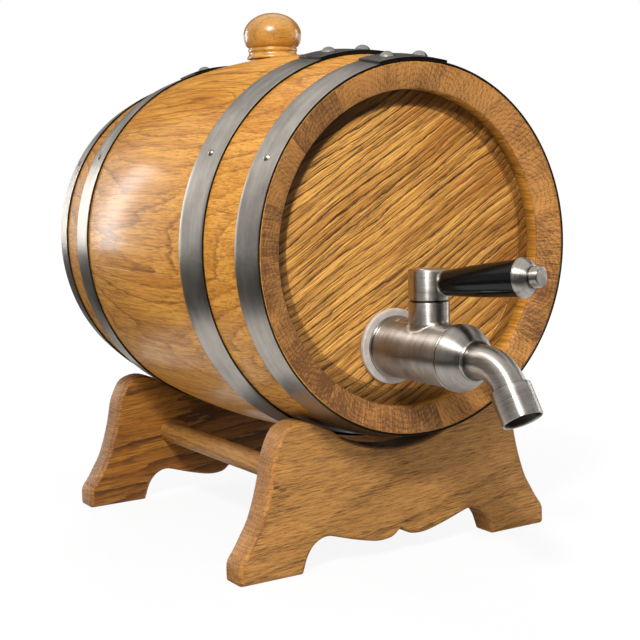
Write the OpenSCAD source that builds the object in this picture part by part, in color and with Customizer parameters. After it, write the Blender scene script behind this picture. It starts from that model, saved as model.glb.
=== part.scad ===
// Oak cask drink dispenser on a two-board stand, with a bung and a quarter-turn tap.
// Millimetres. +Z is up, the tap faces -Y, and the origin is the middle of the base.

/* [Cask] */
// Length of the cask over the two rims
cask_length = 255.5; // [235:0.5:280]
// Outside diameter at the bulge
bilge_diameter = 214.4; // [204:0.2:228]
// Outside diameter of the wood at each rim
rim_diameter = 190; // [182:0.2:200]
// Thickness of a stave at the bulge
stave_thickness = 13.4; // [11:0.1:15]
// Thickness of each round end
head_thickness = 14; // [12:0.5:16]
// Depth of the flat face of an end below the rim
head_setback = 11.8; // [9:0.1:14]

/* [Hoops] */
// Thickness of the hoop steel
hoop_thickness = 1.2; // [0.8:0.1:1.6]
// Width of each of the two rim hoops
rim_hoop_width = 17.7; // [15:0.1:20]
// Width of each of the two quarter hoops
quarter_hoop_width = 21.5; // [18:0.1:24]

/* [Stand] */
// Thickness of each stand board
board_thickness = 16.2; // [13:0.1:18]
// Diameter of the two dowels between the boards
dowel_diameter = 13; // [10:0.5:15]

/* [Tap] */
// Outside diameter of the tap's barrel
tap_diameter = 31; // [29:0.2:33]
// Length of the tap's barrel, from its washer to the collar
tap_length = 54; // [50:0.5:60]
// Outside diameter of the bent spout tube
spout_diameter = 16.4; // [14:0.2:17.5]
// Radius of the spout's bend, on the tube's centre line
spout_bend = 22; // [18:0.5:30]
// Angle that the spout turns down from level
spout_angle = 57.6; // [45:0.2:75]
// Length of the lever, from the turning axis to its tip
lever_length = 66; // [58:0.5:74]
// Angle that the closed lever stands to the right of straight ahead
lever_turn = 16; // [0:1:30]
// Upward slope of the lever
lever_rise = 5.5; // [0:0.5:8]

/* [Bung] */
// Diameter of the bung's knob
bung_diameter = 34.3; // [30:0.1:38]
// Height of the bung above the cask
bung_height = 27; // [22:0.5:32]

/* [Show] */
// Sub-part to draw

/* [Hidden] */
$fn = 96;
eps = 0.02;
loose = 0.3;        // air between curved faces that move past each other
running = 0.05;     // air round a turning shaft
seat = 0.05;        // air round a part that is pushed home

// cask
half = cask_length / 2;
bilge_r = bilge_diameter / 2;
rim_r = rim_diameter / 2;
bulge = bilge_r - rim_r;
function outer(a) = bilge_r - bulge * pow(a / half, 2);
function slope(a) = atan(2 * bulge * a / (half * half));
curve_steps = 12;   // straight steps from the middle to one rim
chime_depth = 5;    // how far the rim's inner edge lies below its outer one
chime_r = rim_r - stave_thickness;
croze_depth = head_setback + 2.6;
croze_width = 4;
croze_r = chime_r + 3.3;
inner_depth = head_setback + head_thickness + 2;

// staves: widths vary a little, and the bung stave is centred on the top
stave_share = [100, 92, 91, 92, 100, 100, 103, 104, 101, 103, 104, 101, 103, 102, 103, 101];
function total(v, n, i = 0) = i >= n ? 0 : v[i] + total(v, n, i + 1);
share_sum = total(stave_share, len(stave_share));
function stave_width(i) = 360 * stave_share[i] / share_sum;
function stave_start(i) = 90 - stave_width(0) / 2 + 360 * total(stave_share, i) / share_sum;

// hoops
rim_hoop_a = [half - rim_hoop_width, half - 0.05];
quarter_mid = 0.5655 * half;
quarter_hoop_a = [quarter_mid - quarter_hoop_width / 2, quarter_mid + quarter_hoop_width / 2];
lap_half = 12.5;
rim_lap = -1.7;
quarter_lap = -4;
rivet_r = 1.6;
rivet_spread = 6;
rivet_head_r = 3.5;
rivet_head_h = 2.4;
nail_angle = 60;
nail_r = 0.8;
nail_head_r = 2;
nail_head_h = 1.1;
nail_length = 9;

// bung
bung_y = 18;        // the bung hole lies a little behind the middle
plug_r = 12.3;
plug_tip_r = 11.3;
plug_length = stave_thickness + 3;
knob_r = bung_diameter / 2;

// stand: outline of one half of a board, scaled to the cask that lies in it. The saddle is an
// arc; each corner after it is [x, z, how far from the corner its rounding starts].
board_out = half - 22.25;
board_in = board_out - board_thickness;
stand_scale = (outer(board_in) + loose) / 101.54;
axis_z = 165.3 * stand_scale;
saddle_z = 59.7;
saddle_r = 76;
saddle_arc = [for (i = [0 : 8]) let (t = 34.5 * i / 8)
    [saddle_r * sin(t), saddle_z + saddle_r * (1 - cos(t)), 0]];
horn_corners = [[61, 81.2, 7.5], [72.1, 76.6, 4.2], [78, 64.9, 5], [80.1, 53, 5],
    [83.2, 41.2, 6], [87.2, 30, 4], [95.3, 16.7, 2], [100, 10.6, 2], [100, 0, 1.2]];
arch_corners = [[62.4, 0, 1], [59.3, 9, 2.7], [55.6, 14.3, 3.4], [48, 18.2, 4.8],
    [28, 11.9, 7.4], [13.5, 8.6, 5.8], [5.2, 10, 2.3], [0, 14.2, 0]];
dowel_x = 44 * stand_scale;
dowel_z = 42 * stand_scale;
dowel_grip = 10;

// tap: distances along its axis are from the face of the front end
tap_x = -12;
tap_drop = 49.6;
tap_r = tap_diameter / 2;
washer_r = tap_r + 4.2;
washer_t = 3;
shank_r = 10.4;
shank_bore = 6.4;
shank_end = head_thickness + 12;
inner_washer_t = 2.5;
inner_washer_r = 16.5;
nut_flats = 27;
nut_t = 7.5;
barrel_end = washer_t + tap_length;
stem_a = 0.581 * barrel_end;
chamber_r = 10.6;
ball_r = 9.5;
ball_bore = 5;
seat_face = 5.6;
seat_back = 10.6;
neck_r = 10.3;
gap_h = tap_r + 10.4;
hub_h = gap_h + 0.6;
hub_tall = 15.2;
hub_top = hub_h + hub_tall;
lever_h = hub_h + 7.6;
stem_r = 4.5;
stop_r = 5.1;       // the stem's stop collar, clear of both seats
collar_r = tap_r + 1.1;
collar_end = barrel_end + 12;
ring_end = collar_end + 2;
spout_r = spout_diameter / 2;
spout_wall = 1.8;
spout_straight = ring_end + 5;
sleeve_r = spout_r + 1.7;
sleeve_length = 16.2;
sleeve_step = 4;
outlet_r = spout_r + 0.5;
rod_r = 3;
flange_r = 6.6;
flange_start = 9.4;
grip_start = 11;
grip_root_r = 6.25;
cap_length = 11;
cap_start = lever_length - cap_length;
cap_r = 9.7;
cap_curve = 4.9;    // height of the cap's rounded shoulder
cap_knob_r = 5.05;

// how far the spout reaches in front of the end's face, which centres the whole in Y
spout_tip_a = spout_straight + spout_bend * sin(spout_angle)
    + sleeve_length * cos(spout_angle) + sleeve_r * sin(spout_angle);
shift_y = (spout_tip_a - head_setback) / 2;

// Places: X stays, local Y is up and local Z runs forward along the cask's axis.
module cask_frame() translate([0, shift_y, axis_z]) rotate([90, 0, 0]) children();
module tap_frame() cask_frame() translate([tap_x, -tap_drop, half - head_setback]) children();
// A point on the cask's skin: t degrees from the top towards +X, a along the axis.
module on_skin(t, a, rise = 0)
    rotate([0, 0, 90 - t]) translate([outer(a) + rise, 0, a])
    rotate([0, 90 - slope(a), 0]) children();

// Shared shapes
module ring(r_out, r_in, h) difference() {
    cylinder(r = r_out, h = h);
    translate([0, 0, -1]) cylinder(r = r_in, h = h + 2);
}
module dome(r, h) {
    ball = (r * r + h * h) / (2 * h);
    intersection() {
        translate([0, 0, h - ball]) sphere(r = ball);
        cylinder(r = r + 1, h = h + 1);
    }
}
// Outline of a stave's section, from the rear rim to the front one and back inside.
function skin(a0, a1, n, rise) =
    [for (i = [0 : n]) let (a = a0 + (a1 - a0) * i / n) [outer(a) + rise, a]];
function end_inside(s) = [[chime_r, s * (half - chime_depth)],
    [chime_r + 0.2, s * (half - croze_depth)], [croze_r, s * (half - croze_depth)],
    [croze_r, s * (half - croze_depth - croze_width)],
    [chime_r + 0.8, s * (half - croze_depth - croze_width)]];
function reverse(v) = [for (i = [len(v) - 1 : -1 : 0]) v[i]];
inner_a = half - inner_depth;
stave_section = concat(skin(-half, half, 2 * curve_steps, 0), end_inside(1),
    skin(inner_a, -inner_a, 2 * curve_steps - 4, -stave_thickness), reverse(end_inside(-1)));

module nail_shanks(r) for (t = [-nail_angle, nail_angle])
    for (a = [(rim_hoop_a[0] + rim_hoop_a[1]) / 2, quarter_mid]) for (s = [-1, 1])
        on_skin(t, s * a, hoop_thickness + eps) translate([0, 0, -nail_length])
            cylinder(r = r, h = nail_length + nail_head_h / 2, $fn = 24);

module stave(i) color([0.72, 0.48, 0.24]) cask_frame() difference() {
    rotate([0, 0, stave_start(i)]) rotate_extrude(angle = stave_width(i))
        polygon(stave_section);
    if (i == 0) translate([0, 0, -bung_y]) rotate([-90, 0, 0])
        translate([0, 0, bilge_r - plug_length - 1])
            cylinder(r1 = plug_tip_r + loose - 0.06, r2 = plug_r + loose + 0.06,
                h = plug_length + 2);
    nail_shanks(nail_r + eps);
}

module head() rotate_extrude() polygon([[0, half - head_setback],
    [chime_r - 7.9, half - head_setback], [chime_r - 0.4, half - croze_depth - 0.05],
    [croze_r - 0.1, half - croze_depth - 0.05],
    [croze_r - 0.1, half - croze_depth - croze_width + 0.05],
    [chime_r - 1, half - croze_depth - croze_width + 0.05],
    [chime_r - 6, half - head_setback - head_thickness],
    [0, half - head_setback - head_thickness]]);
module head_front() color([0.76, 0.52, 0.27]) difference() {
    cask_frame() head();
    tap_frame() translate([0, 0, -head_thickness - 1])
        cylinder(r = shank_r + 0.2, h = head_thickness + 2);
}
module head_rear() color([0.76, 0.52, 0.27]) cask_frame() mirror([0, 0, 1]) head();

// A hoop: a riveted strip whose end lies over its start for the length of the lap.
module strip(a, rise, n = 6) polygon(concat(skin(a[0], a[1], n, rise + eps),
    skin(a[1], a[0], n, rise + hoop_thickness + eps)));
module lap_rivets(lap, mid, grow = 0) for (s = [-1, 1])
    on_skin(lap + s * rivet_spread, mid, 2 * hoop_thickness + eps)
        translate([0, 0, -2 * hoop_thickness - grow])
            cylinder(r = rivet_r + (grow > 0 ? eps : 0), h = 2 * hoop_thickness + 2 * grow,
                $fn = 32);
module hoop(a, lap) color([0.60, 0.61, 0.62]) cask_frame() difference() {
    union() {
        rotate_extrude() strip(a, 0);
        rotate([0, 0, 90 - lap - lap_half]) rotate_extrude(angle = 2 * lap_half)
            strip(a, hoop_thickness - eps);
    }
    lap_rivets(lap, (a[0] + a[1]) / 2, 0.5);
    nail_shanks(nail_r + eps);
}
function behind(a) = [-a[1], -a[0]];
module hoop_rim_front() hoop(rim_hoop_a, rim_lap);
module hoop_quarter_front() hoop(quarter_hoop_a, quarter_lap);
module hoop_quarter_rear() hoop(behind(quarter_hoop_a), quarter_lap);
module hoop_rim_rear() hoop(behind(rim_hoop_a), rim_lap);

module hoop_rivets() color([0.58, 0.59, 0.60]) cask_frame()
    for (h = [[rim_hoop_a, rim_lap], [quarter_hoop_a, quarter_lap],
            [behind(quarter_hoop_a), quarter_lap], [behind(rim_hoop_a), rim_lap]]) {
        mid = (h[0][0] + h[0][1]) / 2;
        lap_rivets(h[1], mid);
        for (s = [-1, 1]) on_skin(h[1] + s * rivet_spread, mid, 2 * hoop_thickness + eps)
            dome(rivet_head_r, rivet_head_h);
    }
module hoop_nails() color([0.75, 0.75, 0.74]) cask_frame() {
    nail_shanks(nail_r);
    for (t = [-nail_angle, nail_angle])
        for (a = [(rim_hoop_a[0] + rim_hoop_a[1]) / 2, quarter_mid]) for (s = [-1, 1])
            on_skin(t, s * a, hoop_thickness + eps) dome(nail_head_r, nail_head_h);
}

// Stand
function toward(p, q, d) = p + d * (q - p) / norm(q - p);
function flat(p) = [p[0], p[1]];
// The corners as an outline, each one rounded by a curve that starts and ends at its cut.
function rounded(v) = [for (i = [0 : len(v) - 1]) each v[i][2] == 0 ? [flat(v[i])] :
    let (p = flat(v[i]), a = toward(p, flat(v[i - 1]), v[i][2]),
        b = toward(p, flat(v[i + 1]), v[i][2]))
        [for (k = [0 : 3]) let (t = k / 3) pow(1 - t, 2) * a + 2 * t * (1 - t) * p + t * t * b]];
half_outline = rounded(concat(saddle_arc, horn_corners, arch_corners));
board_outline = stand_scale * concat(half_outline,
    [for (i = [len(half_outline) - 2 : -1 : 1]) [-half_outline[i][0], half_outline[i][1]]]);
module board_blank() rotate([90, 0, 0]) linear_extrude(board_thickness)
    polygon(board_outline);
module dowel_holes(r) for (x = [-dowel_x, dowel_x])
    translate([x, shift_y, dowel_z]) rotate([90, 0, 0])
        translate([0, 0, -board_in - dowel_grip])
            cylinder(r = r, h = 2 * (board_in + dowel_grip));
module stand_board_front() color([0.66, 0.44, 0.22]) difference() {
    translate([0, shift_y - board_in, 0]) board_blank();
    dowel_holes(dowel_diameter / 2 + eps);
}
module stand_board_rear() color([0.66, 0.44, 0.22]) difference() {
    translate([0, shift_y + board_out, 0]) board_blank();
    dowel_holes(dowel_diameter / 2 + eps);
}
module stand_dowel(s) color([0.66, 0.44, 0.22])
    translate([s * dowel_x, shift_y, dowel_z]) rotate([90, 0, 0])
        translate([0, 0, -board_in - dowel_grip + eps])
            cylinder(d = dowel_diameter, h = 2 * (board_in + dowel_grip - eps));
module stand_dowel_left() stand_dowel(-1);
module stand_dowel_right() stand_dowel(1);

// Tap, fixed parts
module tap_washer() color([0.85, 0.84, 0.83]) tap_frame()
    ring(washer_r, shank_r + 0.1, washer_t);
module inner_washer() color([0.85, 0.84, 0.83]) tap_frame()
    translate([0, 0, -head_thickness - inner_washer_t])
        ring(inner_washer_r, shank_r + 0.1, inner_washer_t);
module lock_nut() color([0.70, 0.68, 0.65]) tap_frame()
    translate([0, 0, -head_thickness - inner_washer_t - nut_t]) difference() {
        cylinder(d = nut_flats / cos(30), h = nut_t, $fn = 6);
        translate([0, 0, -1]) cylinder(r = shank_r + eps, h = nut_t + 2);
    }
module upright() rotate([-90, 0, 0]) children();
module tap_body() color([0.68, 0.65, 0.61]) tap_frame() difference() {
    union() {
        translate([0, 0, -shank_end]) cylinder(r = shank_r, h = shank_end + washer_t + 1);
        translate([0, 0, washer_t]) cylinder(r = tap_r + 0.6, h = 1.4);
        translate([0, 0, washer_t + 1]) cylinder(r = tap_r - 0.5, h = 2);
        translate([0, 0, washer_t + 2]) cylinder(r = tap_r + 0.3, h = 1);
        translate([0, 0, washer_t + 2.5]) cylinder(r = tap_r, h = tap_length - 2.5);
        translate([0, 0, stem_a]) upright() cylinder(r = neck_r, h = gap_h);
    }
    translate([0, 0, -shank_end - 1]) cylinder(r = shank_bore, h = shank_end + stem_a);
    translate([0, 0, stem_a - seat_back]) cylinder(r = chamber_r, h = barrel_end);
    translate([0, 0, stem_a]) upright() {
        cylinder(r = stop_r + loose, h = 12.5);
        cylinder(r = stem_r + running, h = gap_h + 1);
        translate([0, 0, gap_h - 4.5]) cylinder(r = 6.6, h = 6);
    }
}
module stem_seal() color([0.93, 0.93, 0.91]) tap_frame() translate([0, 0, stem_a])
    upright() translate([0, 0, gap_h - 4.5]) ring(6.58, stem_r + running, 4.3);
module valve_seat() difference() {
    translate([0, 0, seat_face]) cylinder(r = chamber_r - seat, h = seat_back - seat_face);
    sphere(r = ball_r + loose);
    cylinder(r = ball_bore + 0.2, h = 2 * seat_back);
}
module valve_seat_front() color([0.93, 0.93, 0.91]) tap_frame()
    translate([0, 0, stem_a]) valve_seat();
module valve_seat_rear() color([0.93, 0.93, 0.91]) tap_frame()
    translate([0, 0, stem_a]) mirror([0, 0, 1]) valve_seat();
// The domed collar closes the valve chamber with a long spigot.
module tap_collar() color([0.70, 0.67, 0.63]) tap_frame() difference() {
    rise = collar_end - barrel_end;
    spigot = stem_a + seat_back - barrel_end;
    rotate_extrude() translate([0, barrel_end]) polygon(concat(
        [[0, spigot], [chamber_r - seat, spigot], [chamber_r - seat, 0], [collar_r, 0],
        [collar_r, 1], [collar_r - 0.5, 1.2], [collar_r - 0.5, 1.6], [collar_r, 1.8],
        [collar_r, 2.6]],
        [for (i = [1 : 8]) let (t = 90 * i / 8)
            [spout_r + 1 + (collar_r - spout_r - 1) * cos(t),
            2.6 + (rise - 2.6) * sin(t)]],
        [[0, rise]]));
    cylinder(r = shank_bore, h = collar_end + 1);
    translate([0, 0, collar_end - 6]) cylinder(r = spout_r + seat, h = 7);
}
module spout_path(r, start) {
    translate([0, 0, start]) cylinder(r = r, h = spout_straight - start);
    translate([0, -spout_bend, spout_straight]) rotate([0, -90, 0]) intersection() {
        rotate_extrude() translate([spout_bend, 0]) circle(r = r);
        translate([0, 0, -2 * r]) linear_extrude(4 * r) polygon(3 * spout_bend *
            [[0, 0], [sin(spout_angle), cos(spout_angle)], [1, 1], [0, 1]]);
    }
}
module spout_end() translate([0, -spout_bend, spout_straight]) rotate([spout_angle, 0, 0])
    translate([0, spout_bend, 0]) children();
module tap_spout() color([0.68, 0.65, 0.61]) tap_frame() difference() {
    union() {
        spout_path(spout_r, collar_end - 6 + seat);
        translate([0, 0, collar_end]) cylinder(r = spout_r + 1.9, h = ring_end - collar_end);
    }
    spout_path(spout_r - spout_wall, collar_end - 8);
}
module outlet_sleeve() color([0.66, 0.64, 0.60]) tap_frame() spout_end() difference() {
    cylinder(r = sleeve_r, h = sleeve_length);
    translate([0, 0, -1]) cylinder(r = spout_r - spout_wall, h = sleeve_length);
    translate([0, 0, sleeve_step]) cylinder(r = outlet_r, h = sleeve_length);
}

// Tap, turning parts
module lever_frame() tap_frame() translate([0, lever_h, stem_a])
    rotate([-lever_rise, lever_turn, 0]) children();
module ring_ball() difference() {
    sphere(r = ball_r);
    translate([0, 0, -ball_r - 1]) cylinder(r = ball_bore, h = 2 * ball_r + 2);
}
module valve_ball() color([0.72, 0.70, 0.67]) tap_frame() translate([0, 0, stem_a])
    difference() {
        rotate([0, 90, 0]) ring_ball();
        translate([-ball_r, 6.4, -1.7]) cube([2 * ball_r, ball_r, 3.4]);
    }
module valve_stem() color([0.70, 0.68, 0.64]) difference() {
    tap_frame() translate([0, 0, stem_a]) {
        translate([-4, 6.6, -1.5]) cube([8, 4, 3]);
        upright() translate([0, 0, 10]) cylinder(r = stop_r, h = 2.2);
        upright() translate([0, 0, 12]) cylinder(r = stem_r, h = hub_top - 16);
    }
    lever_frame() cylinder(r = rod_r + eps, h = 20);
}
module lever_hub() color([0.70, 0.67, 0.63]) difference() {
    tap_frame() translate([0, 0, stem_a]) upright() rotate_extrude() polygon([
        [stem_r + eps, hub_h], [neck_r - 0.6, hub_h], [neck_r - 0.1, hub_h + 0.5],
        [neck_r - 0.1, hub_top - 0.7], [neck_r - 0.8, hub_top], [0, hub_top],
        [0, hub_top - 3.9], [stem_r + eps, hub_top - 3.9]]);
    lever_frame() cylinder(r = rod_r + eps, h = 20);
    lever_frame() translate([0, 0, flange_start]) cylinder(r = flange_r + eps, h = 10);
}
module lever_rod() color([0.70, 0.67, 0.63]) lever_frame() {
    cylinder(r = rod_r, h = cap_start + 3);
    translate([0, 0, flange_start + eps])
        cylinder(r = flange_r, h = grip_start - flange_start - 2 * eps);
}
module lever_grip() color([0.04, 0.04, 0.04]) lever_frame() difference() {
    span = cap_start - grip_start;
    rotate_extrude() translate([0, grip_start]) polygon(concat([[0, 0], [0.93 * grip_root_r, 0]],
        [for (i = [0 : 8]) let (u = i / 8)
            [grip_root_r * (1 + 0.736 * u - 0.288 * u * u), 0.4 + (span - 0.4) * u]],
        [[0, span]]));
    cylinder(r = rod_r + eps, h = lever_length);
}
module lever_cap() color([0.72, 0.69, 0.65]) lever_frame() difference() {
    neck = cap_knob_r - 0.45;
    rotate_extrude() translate([0, cap_start + eps]) polygon(concat(
        [[0, 0], [cap_r - 0.3, 0], [cap_r, 0.3]],
        [for (i = [0 : 6]) let (t = 90 * i / 6)
            [neck + (cap_r - neck) * cos(t), 1.2 + cap_curve * sin(t)]],
        [[neck, cap_curve + 1.7], [cap_knob_r, cap_curve + 2], [cap_knob_r, cap_length - 0.5],
        [neck, cap_length - eps], [0, cap_length - eps]]));
    cylinder(r = rod_r + eps, h = cap_start + 3.1);
}

// Bung: a turned knob, a bead, a flared foot and a tapered plug
module bung() color([0.74, 0.50, 0.26])
    translate([0, shift_y + bung_y, axis_z + bilge_r]) rotate_extrude() {
        mid = 0.51 * bung_height;
        polygon(concat([[0, -plug_length], [plug_tip_r, -plug_length], [plug_r, 0.1],
            [knob_r - 1.8, 0.1], [knob_r - 1.7, 1], [knob_r - 2.9, 2.6], [knob_r - 3.1, 3.8],
            [knob_r - 2.5, 4.4], [knob_r - 2.5, 5.6], [knob_r - 3.1, 6.2]],
            [for (i = [1 : 6]) let (t = 90 - 90 * i / 6)
                [knob_r - 3.4 + 3.4 * cos(t), mid - (mid - 6.6) * sin(t)]],
            [for (i = [1 : 12]) let (t = 90 * i / 12)
                [knob_r * cos(t), mid + (bung_height - mid) * sin(t)]]));
    }

stand_board_front();
stand_board_rear();
stand_dowel_left();
stand_dowel_right();
stave(0);  // stave_01
stave(1);  // stave_02
stave(2);  // stave_03
stave(3);  // stave_04
stave(4);  // stave_05
stave(5);  // stave_06
stave(6);  // stave_07
stave(7);  // stave_08
stave(8);  // stave_09
stave(9);  // stave_10
stave(10);  // stave_11
stave(11);  // stave_12
stave(12);  // stave_13
stave(13);  // stave_14
stave(14);  // stave_15
stave(15);  // stave_16
head_front();
head_rear();
hoop_rim_front();
hoop_quarter_front();
hoop_quarter_rear();
hoop_rim_rear();
hoop_rivets();
hoop_nails();
tap_washer();
tap_body();
tap_collar();
tap_spout();
outlet_sleeve();
inner_washer();
lock_nut();
valve_seat_rear();
valve_seat_front();
stem_seal();
valve_ball();
valve_stem();
lever_hub();
lever_rod();
lever_grip();
lever_cap();
bung();
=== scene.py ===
import random
from math import asin, atan, atan2, cos, degrees, hypot, pi, radians as rad, sin

import bmesh
import bpy
from mathutils import Matrix, Vector

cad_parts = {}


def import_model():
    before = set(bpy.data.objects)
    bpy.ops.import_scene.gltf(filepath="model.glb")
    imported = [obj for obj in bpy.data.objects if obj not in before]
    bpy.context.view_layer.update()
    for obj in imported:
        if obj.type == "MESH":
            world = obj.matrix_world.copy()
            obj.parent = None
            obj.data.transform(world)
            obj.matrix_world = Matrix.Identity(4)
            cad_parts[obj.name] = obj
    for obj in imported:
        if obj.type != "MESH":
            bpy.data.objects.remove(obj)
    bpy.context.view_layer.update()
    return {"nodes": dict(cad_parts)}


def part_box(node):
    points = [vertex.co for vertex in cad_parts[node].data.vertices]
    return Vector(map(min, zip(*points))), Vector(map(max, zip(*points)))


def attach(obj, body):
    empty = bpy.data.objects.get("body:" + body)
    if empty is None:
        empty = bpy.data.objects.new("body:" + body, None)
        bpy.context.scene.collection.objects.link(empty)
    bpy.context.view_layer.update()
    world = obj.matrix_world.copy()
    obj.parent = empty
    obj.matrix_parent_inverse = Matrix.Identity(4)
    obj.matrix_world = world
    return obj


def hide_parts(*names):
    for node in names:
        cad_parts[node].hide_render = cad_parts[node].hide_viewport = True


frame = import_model()

scene = bpy.context.scene
MM = 0.001

# ---- driving sizes, mm
HALF = 127.75            # half the cask's length
BILGE_R = 107.2
RIM_R = 95.0
STAVE_T = 13.4
STAVE_SHARE = (100, 92, 91, 92, 100, 100, 103, 104, 101, 103, 104, 101, 103, 102, 103, 101)
CHIME_R = RIM_R - STAVE_T
CHIME_DEPTH = 5.0
SETBACK = 11.8           # rim to the flat face of an end
HEAD_T = 14.0
CROZE = SETBACK + 2.6    # rim to the groove that holds an end
CROZE_W, CROZE_DEEP = 4.0, 3.3
HOOP_T = 1.2
HOOP_STEP = 1.5          # degrees between a hoop's sections
PLAY = 0.02              # air under a hoop and its fasteners
RIM_HOOP = (HALF - 17.7, HALF - 0.05)
RIM_MID = (RIM_HOOP[0] + RIM_HOOP[1]) / 2
QUARTER_MID = 0.5655 * HALF
QUARTER_HOOP = (QUARTER_MID - 10.75, QUARTER_MID + 10.75)
LAP_HALF = 12.5          # degrees, half of where a hoop lies double
RIM_LAP, QUARTER_LAP = -1.7, -4.0      # degrees from the top
RIVET_SPREAD, NAIL_ANGLE = 6.0, 60.0   # degrees from the lap's middle and from the top
RIVET = (4.1, 2.4, 1.6, 2.3)           # head radius and height, shank radius and length
NAIL = (2.0, 1.1, 0.8, 8.9)
AXIS_Z = 165.3
BUNG_Y = 18.0
BUNG_R, BUNG_TALL = 17.15, 27.0
PLUG_L, PLUG_TIP_R, PLUG_R = 16.4, 11.3, 12.3
BORE_DEEP, BORE_TIP_R, BORE_R, BORE_L = 17.4, 11.6, 12.66, 20.0
BOARD_T, EDGE_R = 16.2, 2.2
BOARD_OUT = HALF - 22.25
BOARD_IN = BOARD_OUT - BOARD_T
DOWEL_R, DOWEL_X, DOWEL_Z, DOWEL_LET_IN = 6.5, 44, 42, 9.9

# tap, distances along its axis from the face of the front end
TAP_X, TAP_DROP = -12.0, 49.6
TAP_R = 15.5
TAIL_R, TAIL_L = 10.4, 26.0        # the threaded tail inside the cask
FLANGE_R, GROOVE_R, BEAD_R = 16.1, TAP_R - 0.4, TAP_R + 0.3
WASHER_R, WASHER_T, WASHER_HOLE_R = 19.7, 3.0, 10.5
INNER_WASHER_R, INNER_WASHER = 16.5, (-16.5, -14.0)
BARREL_END = 57.0
STEM_A = 0.581 * BARREL_END
NECK_R = 10.3
GAP_H = TAP_R + 10.4
HUB_H = GAP_H + 0.6
HUB_TOP = HUB_H + 15.2
LEVER_H = HUB_H + 7.6
LEVER_TURN, LEVER_RISE = 16.0, 5.5
ROD_R, FERRULE_R, GRIP_FROM, GRIP_TO, CAP_L = 3.0, 6.6, 11.0, 55.0, 10.98
COLLAR_R = 16.6
COLLAR_END = BARREL_END + 12
COLLAR_SWELL = 0.9       # how far the collar's cone bulges
SPOUT_R, SPOUT_WALL = 8.2, 1.8
SPOUT_BORE_R = SPOUT_R - SPOUT_WALL
SPOUT_START = COLLAR_END + 7
SPOUT_BEND = 22.0
SPOUT_ANGLE = 57.6
SLEEVE_R, SLEEVE_BORE_R, SLEEVE_L, SLEEVE_STEP = 9.9, 8.7, 16.2, 4.0

lo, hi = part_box("stave_01")
SHIFT = (lo[1] + hi[1]) / 2 / MM      # the cask's middle in the frame, mm


def outer(a):
    """The cask's radius, a forward of its middle."""
    return BILGE_R - (BILGE_R - RIM_R) * (a / HALF) ** 2


def slope(a):
    return atan(2 * (BILGE_R - RIM_R) * a / HALF ** 2)


def ease(x, low, high):
    """0 below low, 1 above high, smooth between."""
    t = max(0.0, min(1.0, (x - low) / (high - low)))
    return t * t * (3 - 2 * t)


def radius(p):
    return hypot(p.x, p.y)


def around_axis(p):
    """The way round a turned piece's axis, at a point."""
    far = radius(p)
    return (-p.y / far, p.x / far, 0) if far > 1e-6 else (1, 0, 0)


# ---- frames
CASK = Matrix(((1, 0, 0, 0), (0, 0, -1, SHIFT), (0, 1, 0, AXIS_Z), (0, 0, 0, 1)))
TAP = CASK @ Matrix.Translation((TAP_X, -TAP_DROP, HALF - SETBACK))
Z_TO_Y = Matrix.Rotation(rad(-90), 4, "X")
UPRIGHT = TAP @ Matrix.Translation((0, 0, STEM_A)) @ Z_TO_Y
LEVER = (TAP @ Matrix.Translation((0, LEVER_H, STEM_A))
         @ Matrix.Rotation(rad(LEVER_TURN), 4, "Y") @ Matrix.Rotation(rad(-LEVER_RISE), 4, "X"))
SPOUT_TIP = (TAP @ Matrix.Translation((0, -SPOUT_BEND, SPOUT_START))
             @ Matrix.Rotation(rad(SPOUT_ANGLE), 4, "X")
             @ Matrix.Translation((0, SPOUT_BEND, 0)))


def on_skin(t, a, rise=0.0):
    """Place on the cask's skin: t degrees from the top towards +X, a forward of the middle."""
    return (CASK @ Matrix.Rotation(rad(90 - t), 4, "Z")
            @ Matrix.Translation((outer(a) + rise, 0, a))
            @ Matrix.Rotation(pi / 2 - slope(a), 4, "Y"))


# ---- mesh helpers
def link(name, data):
    """A new object in the scene."""
    obj = bpy.data.objects.new(name, data)
    scene.collection.objects.link(obj)
    return obj


def to_mesh(name, bm):
    """Turn a bmesh into a mesh whose faces look outward; the bmesh is used up."""
    mesh = bpy.data.meshes.new(name)
    bmesh.ops.recalc_face_normals(bm, faces=bm.faces)
    bm.to_mesh(mesh)
    bm.free()
    return mesh


def write(mesh, name, values):
    """Store a number or a vector for every vertex, where the materials read it."""
    numbers = len(values) == len(mesh.vertices)
    layer = mesh.attributes.new(name, "FLOAT" if numbers else "FLOAT_VECTOR", "POINT")
    layer.data.foreach_set("value" if numbers else "vector", values)


def finish_piece(name, bm, place, body, nodes, mats, grain, tone=0.0, sharp=32,
                 brush=None, dirt_and_shade=None):
    """Turn a bmesh in mm into a piece of the part.

    At a local point, grain is its spot in the wood or the brushing, brush the way of the
    polishing, tone how pale, and dirt_and_shade how far the surface darkens there: by grime,
    and by painted shade, shadow and dark reflections."""
    mesh = to_mesh(name, bm)
    spots = [v.co.copy() for v in mesh.vertices]
    write(mesh, "grain", [c * MM for p in spots for c in grain(p)])
    if dirt_and_shade:
        write(mesh, "dirt_and_shade", [max(0.0, min(1.0, dirt_and_shade(p))) for p in spots])
    if brush:
        turn = place.to_3x3()
        write(mesh, "brush", [c for p in spots for c in turn @ Vector(brush(p))])
    write(mesh, "tone", [tone(p) if callable(tone) else tone for p in spots])
    mesh.transform(Matrix.Scale(MM, 4) @ place)
    for key in mats:
        mesh.materials.append(MAT[key])
    mesh.shade_smooth()
    mesh.set_sharp_from_angle(angle=rad(sharp))
    obj = link(name, mesh)
    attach(obj, body)
    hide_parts(*nodes)


def curve(a, p, b, t):
    """A point of the arc from a to b that bends round p."""
    return a * (1 - t) ** 2 + p * 2 * t * (1 - t) + b * t * t


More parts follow.
